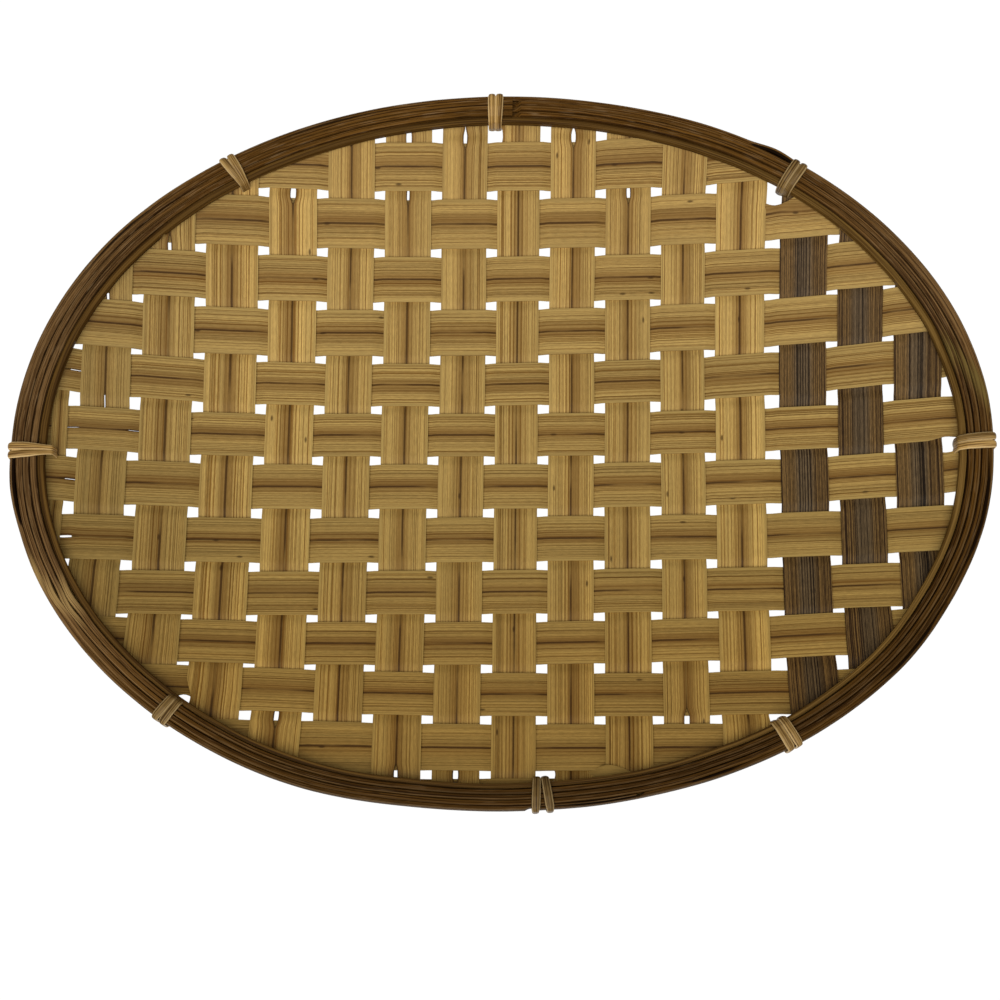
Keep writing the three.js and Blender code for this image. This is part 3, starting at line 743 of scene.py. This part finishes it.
def bend_strip(name, seed, sides, top, lap_at, end_on_top, wavers, knuckles, bulges, gap_at, material):
    """One strip of the rim. Its sides, top, wavers and gap are in millimetres, its lap in degrees."""
    low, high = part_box(name)
    high.z = top * MM
    lap_start = math.radians(lap_at)
    per_radian = math.hypot(HALF_LENGTH * math.sin(lap_start), HALF_WIDTH * math.cos(lap_start))
    outer_side, inner_side = sides[0] * MM, sides[1] * MM
    half_height = (high.z + low.z) / 2
    half_depth = (outer_side + inner_side) / 2
    values = {
        "Half Length": HALF_LENGTH, "Half Width": HALF_WIDTH, "Lap Start": lap_start,
        "Lap": 40 * MM / per_radian, "Shoulder": 1.5 * MM / per_radian, "Outer Side": outer_side,
        "Inner Side": inner_side, "Bottom": low.z, "Top": high.z,
        "First Inner Side": inner_side if end_on_top else half_depth,
        "First Bottom": half_height if end_on_top else low.z,
        "Last Outer Side": outer_side if end_on_top else half_depth,
        "Last Top": half_height if end_on_top else high.z, "Lift": 0.4 * MM if end_on_top else 0.0,
        "Shared Waver": wavers[0] * MM, "Own Waver": wavers[1] * MM,
        "Knuckle 1": math.radians(knuckles[0]), "Knuckle 2": math.radians(knuckles[1]),
        "Knuckle Reach": math.radians(KNUCKLE_DEGREES), "Knuckle Swell": 0.3 * MM,
        "Broader Ends": BROADER_ENDS, "Gap At": gap_at * MM, "Seed": float(seed), "Material": material}
    points = [(math.radians(a), math.radians(reach), off * MM) for a, reach, off in bulges]
    grow(name, points, [], bent_strip, values)


# Bulges are listed by angle and reach in degrees and step outwards in millimetres
bend_strip("outer_hoop", seed=1, sides=(0, 2.05), top=18.5, lap_at=273, end_on_top=False, wavers=(0, 0.3),
           knuckles=(201, 8), gap_at=0.13, material=dark_bamboo,
           bulges=[(55, 4, 1), (112, 16, 0.1), (143, 14, 0.12), (187, 8, 0.6), (281.5, 7, 0.2),
                   (294.5, 6, 0.2), (325, 9, 0.2), (348, 12, 0.24)])

# The inner hoops from the outside in: their two sides, their tops and the angles of their knuckles
INNER_HOOPS = [(1.75, 4.15, 18.6, 205, 10), (4.05, 6.3, 18.2, 207.5, 13), (6.2, 8.6, 17.6, 206, 16)]
for i, (outer, inner, top, left_knuckle, right_knuckle) in enumerate(INNER_HOOPS, 1):
    bend_strip(f"inner_hoop_{i}", seed=1 + i, sides=(outer, inner), top=top, lap_at=88, end_on_top=True,
               wavers=(0.7, 0.45), knuckles=(left_knuckle, right_knuckle), gap_at=NO_GAP,
               bulges=[(left_knuckle, 4, 0.7), (right_knuckle, 4, 0.15)], material=dark_bamboo)

# Liner of the rim
# One more bamboo strip, thinner and less dark than the hoops, lies along the inside of them on the weave.
# It covers the step from the hoops to the floor, and the lashings hold it too.

# Tan bamboo: brown fibres, drawn along the strip, and paler ones towards the right end, painted light where
# the liner's inside faces the light
tan_bamboo, tree, uv = new_material("tan_bamboo")
fibres = streaks(2.2, 0.014, 4, 0.65)
fibre_share = add("MapRange", fibres, 0.34, 0.66, **SMOOTH)
fibre_colour = add("Mix", fibre_share, "#38230a", "#64481e", **RGBA)
painted_light_colour = add("Mix", fibre_share, "#48310f", "#7a5d2d", **RGBA)
spot_x, _, _ = add("SeparateXYZ", add("TexCoord").outputs["Object"]).outputs
liner_colour = overlay(fibre_colour, painted_light_colour, spot_x, 50 * MM, 150 * MM, easing="LINEAR")
relief = add("Bump", {"Height": fibres, "Distance": 0.3 * MM, "Strength": 0.4})
end_material(liner_colour, 0.55, 0.05, Normal=relief)
bend_strip("liner_hoop", seed=7, sides=(8.5, 10.8), top=16.2, lap_at=124.5, end_on_top=True,
           wavers=(0.7, 0.7), knuckles=(200, 20), bulges=[(17, 6, -0.3)], gap_at=NO_GAP,
           material=tan_bamboo)

# Lashings of the rim
# Eight ties of split cane, each one strand wound twice round the hoops and through the holes of the weave.
# The strand is flat inside and keeps its glossy skin outwards, and its ends are tucked under.

# Split cane: brown and straw fibres with a soft shine, and two paler edges, painted highlights where the
# rounded edges catch the light
split_cane, tree, uv = new_material("split_cane")
fibre_colour = overlay("#523710", "#a3824b", streaks(2, 0.04, 3), 0.34, 0.66)
tone = add("Attribute", attribute_name="tone").outputs["Fac"]
toned = add("VectorMath/SCALE", fibre_colour, tone)
across, _, _ = add("SeparateXYZ", uv).outputs
from_middle = add("Math/ABSOLUTE", across)
# Painted highlights along the two edges of the strand
highlight_tone = add("Math/POWER", tone, 0.5)
edge_highlight = add("VectorMath/SCALE", hex_colour("#c8ab78")[:3], highlight_tone)
end_material(overlay(toned, edge_highlight, from_middle, 1.0, 1.3, 0, 0.75, "LINEAR"), 0.45, 0.15)

# The strand's shape: a flat convex strip along its points, its width lying along the rim. It narrows
# where it turns over the edge and where it goes down into the weave.
STRAND_ROWS = 280
EDGE_RUN = (-1 * MM, 1.5 * MM)
EDGE_WIDTH_SHARE = 0.78
INSIDE_RUN = (5 * MM, 13 * MM)
tree, given = new_group(
    "wound_strand", "Geometry", "Geometry", Geometry=["Geometry"], Material=["Material"],
    Vector=["Foot", "Along Rim"],
    Float=["Width", "Thickness", "Bend", "Inside Share", "First Tone", "Second Tone", "Seed"])
path = add("MeshToCurve", given["Geometry"])
bends = {"Curve": path, "Count": 8, "Radius": given["Bend"], "Limit Radius": True}
rounded = add("FilletCurve", bends, mode="POLY")
even = add("ResampleCurve", {"Curve": rounded, "Count": STRAND_ROWS})
skin_side = add("VectorMath/CROSS_PRODUCT", add("InputTangent"), given["Along Rim"])
turned = add("SetCurveNormal", {"Curve": even, "Normal": skin_side}, mode="FREE")
position = add("InputPosition")
inwards = add("VectorMath/CROSS_PRODUCT", given["Along Rim"], (0, 0, 1))
from_foot = add("VectorMath/SUBTRACT", position, given["Foot"])
depth = add("VectorMath/DOT_PRODUCT", from_foot, inwards)
narrow = add("MapRange", depth, *INSIDE_RUN, 1, given["Inside Share"], **SMOOTH)
round_off = add("MapRange", depth, *EDGE_RUN, EDGE_WIDTH_SHARE, 1, **SMOOTH)
width_share = add("Math/MULTIPLY", narrow, round_off)

# Its map for the fibres, in millimetres across and along it, and the tones of its two turns
STRAND_STRETCH = 500
TURN_CHANGE = (0.45, 0.5)
parameter = add("SplineParameter").outputs
stretch = add("Math/MULTIPLY", given["Seed"], STRAND_STRETCH)
along_mm = add("Math/MULTIPLY_ADD", parameter["Length"], TO_MM, stretch)
turn_tone = add("MapRange", parameter["Factor"], *TURN_CHANGE, given["First Tone"], given["Second Tone"])
marked = add("StoreNamedAttribute", {"Geometry": turned, "Name": "along", "Value": along_mm})
shaded = add("StoreNamedAttribute", {"Geometry": marked, "Name": "tone", "Value": turn_tone})
circle = add("CurvePrimitiveCircle", {"Resolution": 20, "Radius": 0.5})
flatness = add("CombineXYZ", given["Thickness"], given["Width"], 1)
profile = add("Transform", {"Geometry": circle, "Scale": flatness})
_, profile_y, _ = add("SeparateXYZ", position).outputs
across_mm = add("Math/MULTIPLY", profile_y, TO_MM)
marked_profile = add("StoreNamedAttribute", {"Geometry": profile, "Name": "across", "Value": across_mm})
skin = add("CurveToMesh", {"Curve": shaded, "Profile Curve": marked_profile, "Scale": width_share,
                           "Fill Caps": True})
across_read = add("InputNamedAttribute", "across", data_type="FLOAT")
along_read = add("InputNamedAttribute", "along", data_type="FLOAT")
fibre_map = add("CombineXYZ", across_read, along_read)
mapped = add("StoreNamedAttribute", {"Geometry": skin, "Name": "fibre", "Value": fibre_map}, **ON_CORNERS)
end_tree(mapped, given["Material"])
wound_strand = tree

# For each lashing, in millimetres: its angle round the rim in degrees, how far its two turns lie apart
# outside and inside, how far its inside end lies along the rim, the share of its width left there, how
# deep inside the rim it goes down, and the tones of its first and second turn
LASHINGS = [(0, 3.0, 2.7, 0.6, 0.9, 13, 0.85, 1.4), (51.5, 3.1, 2.8, -0.8, 0.9, 11, 0.65, 0.65),
            (90.5, 2.9, 2.3, -0.4, 0.8, 10, 1.4, 1.3), (125, 3.3, 1.4, 1.6, 0.6, 11.8, 1, 1.1),
            (181, 3.2, 1.6, 0.4, 0.6, 15.4, 1.35, 1.4), (227.5, 3.2, 2.6, -0.6, 0.9, 10, 0.64, 0.64),
            (274.5, 5.2, 2.9, 0, 0.9, 11.6, 0.42, 0.48), (305, 3.3, 3.0, 0.3, 0.95, 11.2, 0.95, 0.92)]
OUTER_DEPTH = -0.5
TUCK_DEPTH = 5.4
TUCK_HEIGHT = 7.6
for i, (degrees, outside, inside, aside, share, deepest, first_tone, second_tone) in enumerate(LASHINGS, 1):
    angle = math.radians(degrees)
    inwards = -Vector((math.cos(angle) / HALF_LENGTH, math.sin(angle) / HALF_WIDTH, 0)).normalized()
    bent_out = (course_curve.mapping.evaluate(curve, degrees / 360) - 0.5) * CURVE_SPAN * MM
    foot = Vector((HALF_LENGTH * math.cos(angle), HALF_WIDTH * math.sin(angle), 0)) - inwards * bent_out
    along_rim = Vector((-inwards.y, inwards.x, 0))
    broader = 1 + BROADER_ENDS * math.cos(2 * angle)

    # One turn, by depth and height: up the outside of the hoops, over them and down into the weave
    path = [(TUCK_DEPTH, 8), (OUTER_DEPTH, 9.75), (OUTER_DEPTH, 19.3), (4.5, 19.4), (8.6 * broader, 18.5),
            (deepest - 0.6, 16.4), (deepest, 12), (deepest - 0.6, 7.2)]
    points = []
    for turn in (-0.5, 0.5):
        for depth, up in path:
            part = (depth - OUTER_DEPTH) / (deepest - OUTER_DEPTH)
            apart = turn * (outside + (inside - outside) * part) + aside * part
            points.append(foot + (inwards * depth + along_rim * apart + Vector((0, 0, up))) * MM)
    tuck = inwards * TUCK_DEPTH + along_rim * 0.5 * inside + Vector((0, 0, TUCK_HEIGHT))
    points.append(foot + tuck * MM)
    edges = [(j, j + 1) for j in range(len(points) - 1)]
    values = {"Foot": foot, "Along Rim": along_rim, "Width": 3.1 * MM, "Thickness": 1.35 * MM,
              "Bend": 1.4 * MM, "Inside Share": float(share), "First Tone": float(first_tone),
              "Second Tone": float(second_tone), "Seed": float(i), "Material": split_cane}
    grow(f"lashing_{i}", points, edges, wound_strand, values)

# Floor and light
# A white floor that looks white to the eye and keeps a little of the tray's shadow, soft light from all
# round, and a wide soft light from the near side, a little to the left. The eye sees the sky as white too.
FLOOR_HALF = 40
FLOOR_GLOW = 0.95
white_floor = bpy.data.materials.new("white_floor")
white_floor.use_nodes = True
tree = white_floor.node_tree
shader = tree.nodes["Principled BSDF"]
feed(shader.inputs["Base Color"], "#f4f4f4")
feed(shader.inputs["Roughness"], 0.9)
rays = add("LightPath").outputs
seen = add("Math/MAXIMUM", rays["Is Camera Ray"], rays["Is Glossy Ray"])
seen_all = add("Math/MAXIMUM", seen, rays["Is Transmission Ray"])
seen_share = add("Math/MULTIPLY", seen_all, FLOOR_GLOW)
glow = add("Emission", {"Color": "#ffffff", "Strength": 1.05})
white = add("MixShader", seen_share, shader, glow)
feed(tree.nodes["Material Output"].inputs["Surface"], white)
floor_mesh = bpy.data.meshes.new("floor")
floor_corners = [(x * FLOOR_HALF, y * FLOOR_HALF, 0) for x, y in ((-1, -1), (1, -1), (1, 1), (-1, 1))]
floor_mesh.from_pydata(floor_corners, [], [(0, 1, 2, 3)])
floor_mesh.materials.append(white_floor)
floor = bpy.data.objects.new("floor", floor_mesh)
bpy.context.scene.collection.objects.link(floor)

world = bpy.data.worlds.new("studio")
bpy.context.scene.world = world
world.use_nodes = True
tree = world.node_tree
sky_glow = tree.nodes["Background"]
feed(sky_glow.inputs["Color"], (1, 0.97, 0.92, 1))
feed(sky_glow.inputs["Strength"], 0.28)
white_sky = add("Background", {"Color": "#ffffff", "Strength": 1})
sky = add("MixShader", add("LightPath").outputs["Is Camera Ray"], sky_glow, white_sky)
feed(tree.nodes["World Output"].inputs["Surface"], sky)

LIGHT_FROM = Vector((-0.12, -0.45, 0.87))
lamp = bpy.data.lights.new("soft_light", "SUN")
lamp.angle = math.radians(60)
lamp.energy = 2.65
soft_light = bpy.data.objects.new("soft_light", lamp)
soft_light.matrix_world = LIGHT_FROM.to_track_quat("Z", "Y").to_matrix().to_4x4()
bpy.context.scene.collection.objects.link(soft_light)

# Camera, at the photograph's angle and frame
ELEVATION = math.radians(78)
ROLL = math.radians(0.26)
AIM = Vector((-0.69, -17.69, 0)) * MM
DISTANCE = 0.8
back = Vector((0, -math.cos(ELEVATION), math.sin(ELEVATION)))
right = Vector((1, 0, 0))
up = back.cross(right)
lens = bpy.data.cameras.new("camera")
lens.sensor_width = 36
lens.lens = 77.4
camera = bpy.data.objects.new("camera", lens)
turned_right = right * math.cos(ROLL) - up * math.sin(ROLL)
turned_up = right * math.sin(ROLL) + up * math.cos(ROLL)
facing = Matrix((turned_right, turned_up, back)).transposed().to_4x4()
camera.matrix_world = Matrix.Translation(AIM + back * DISTANCE) @ facing
bpy.context.scene.collection.objects.link(camera)
bpy.context.scene.camera = camera
bpy.context.scene.view_settings.view_transform = "Standard"
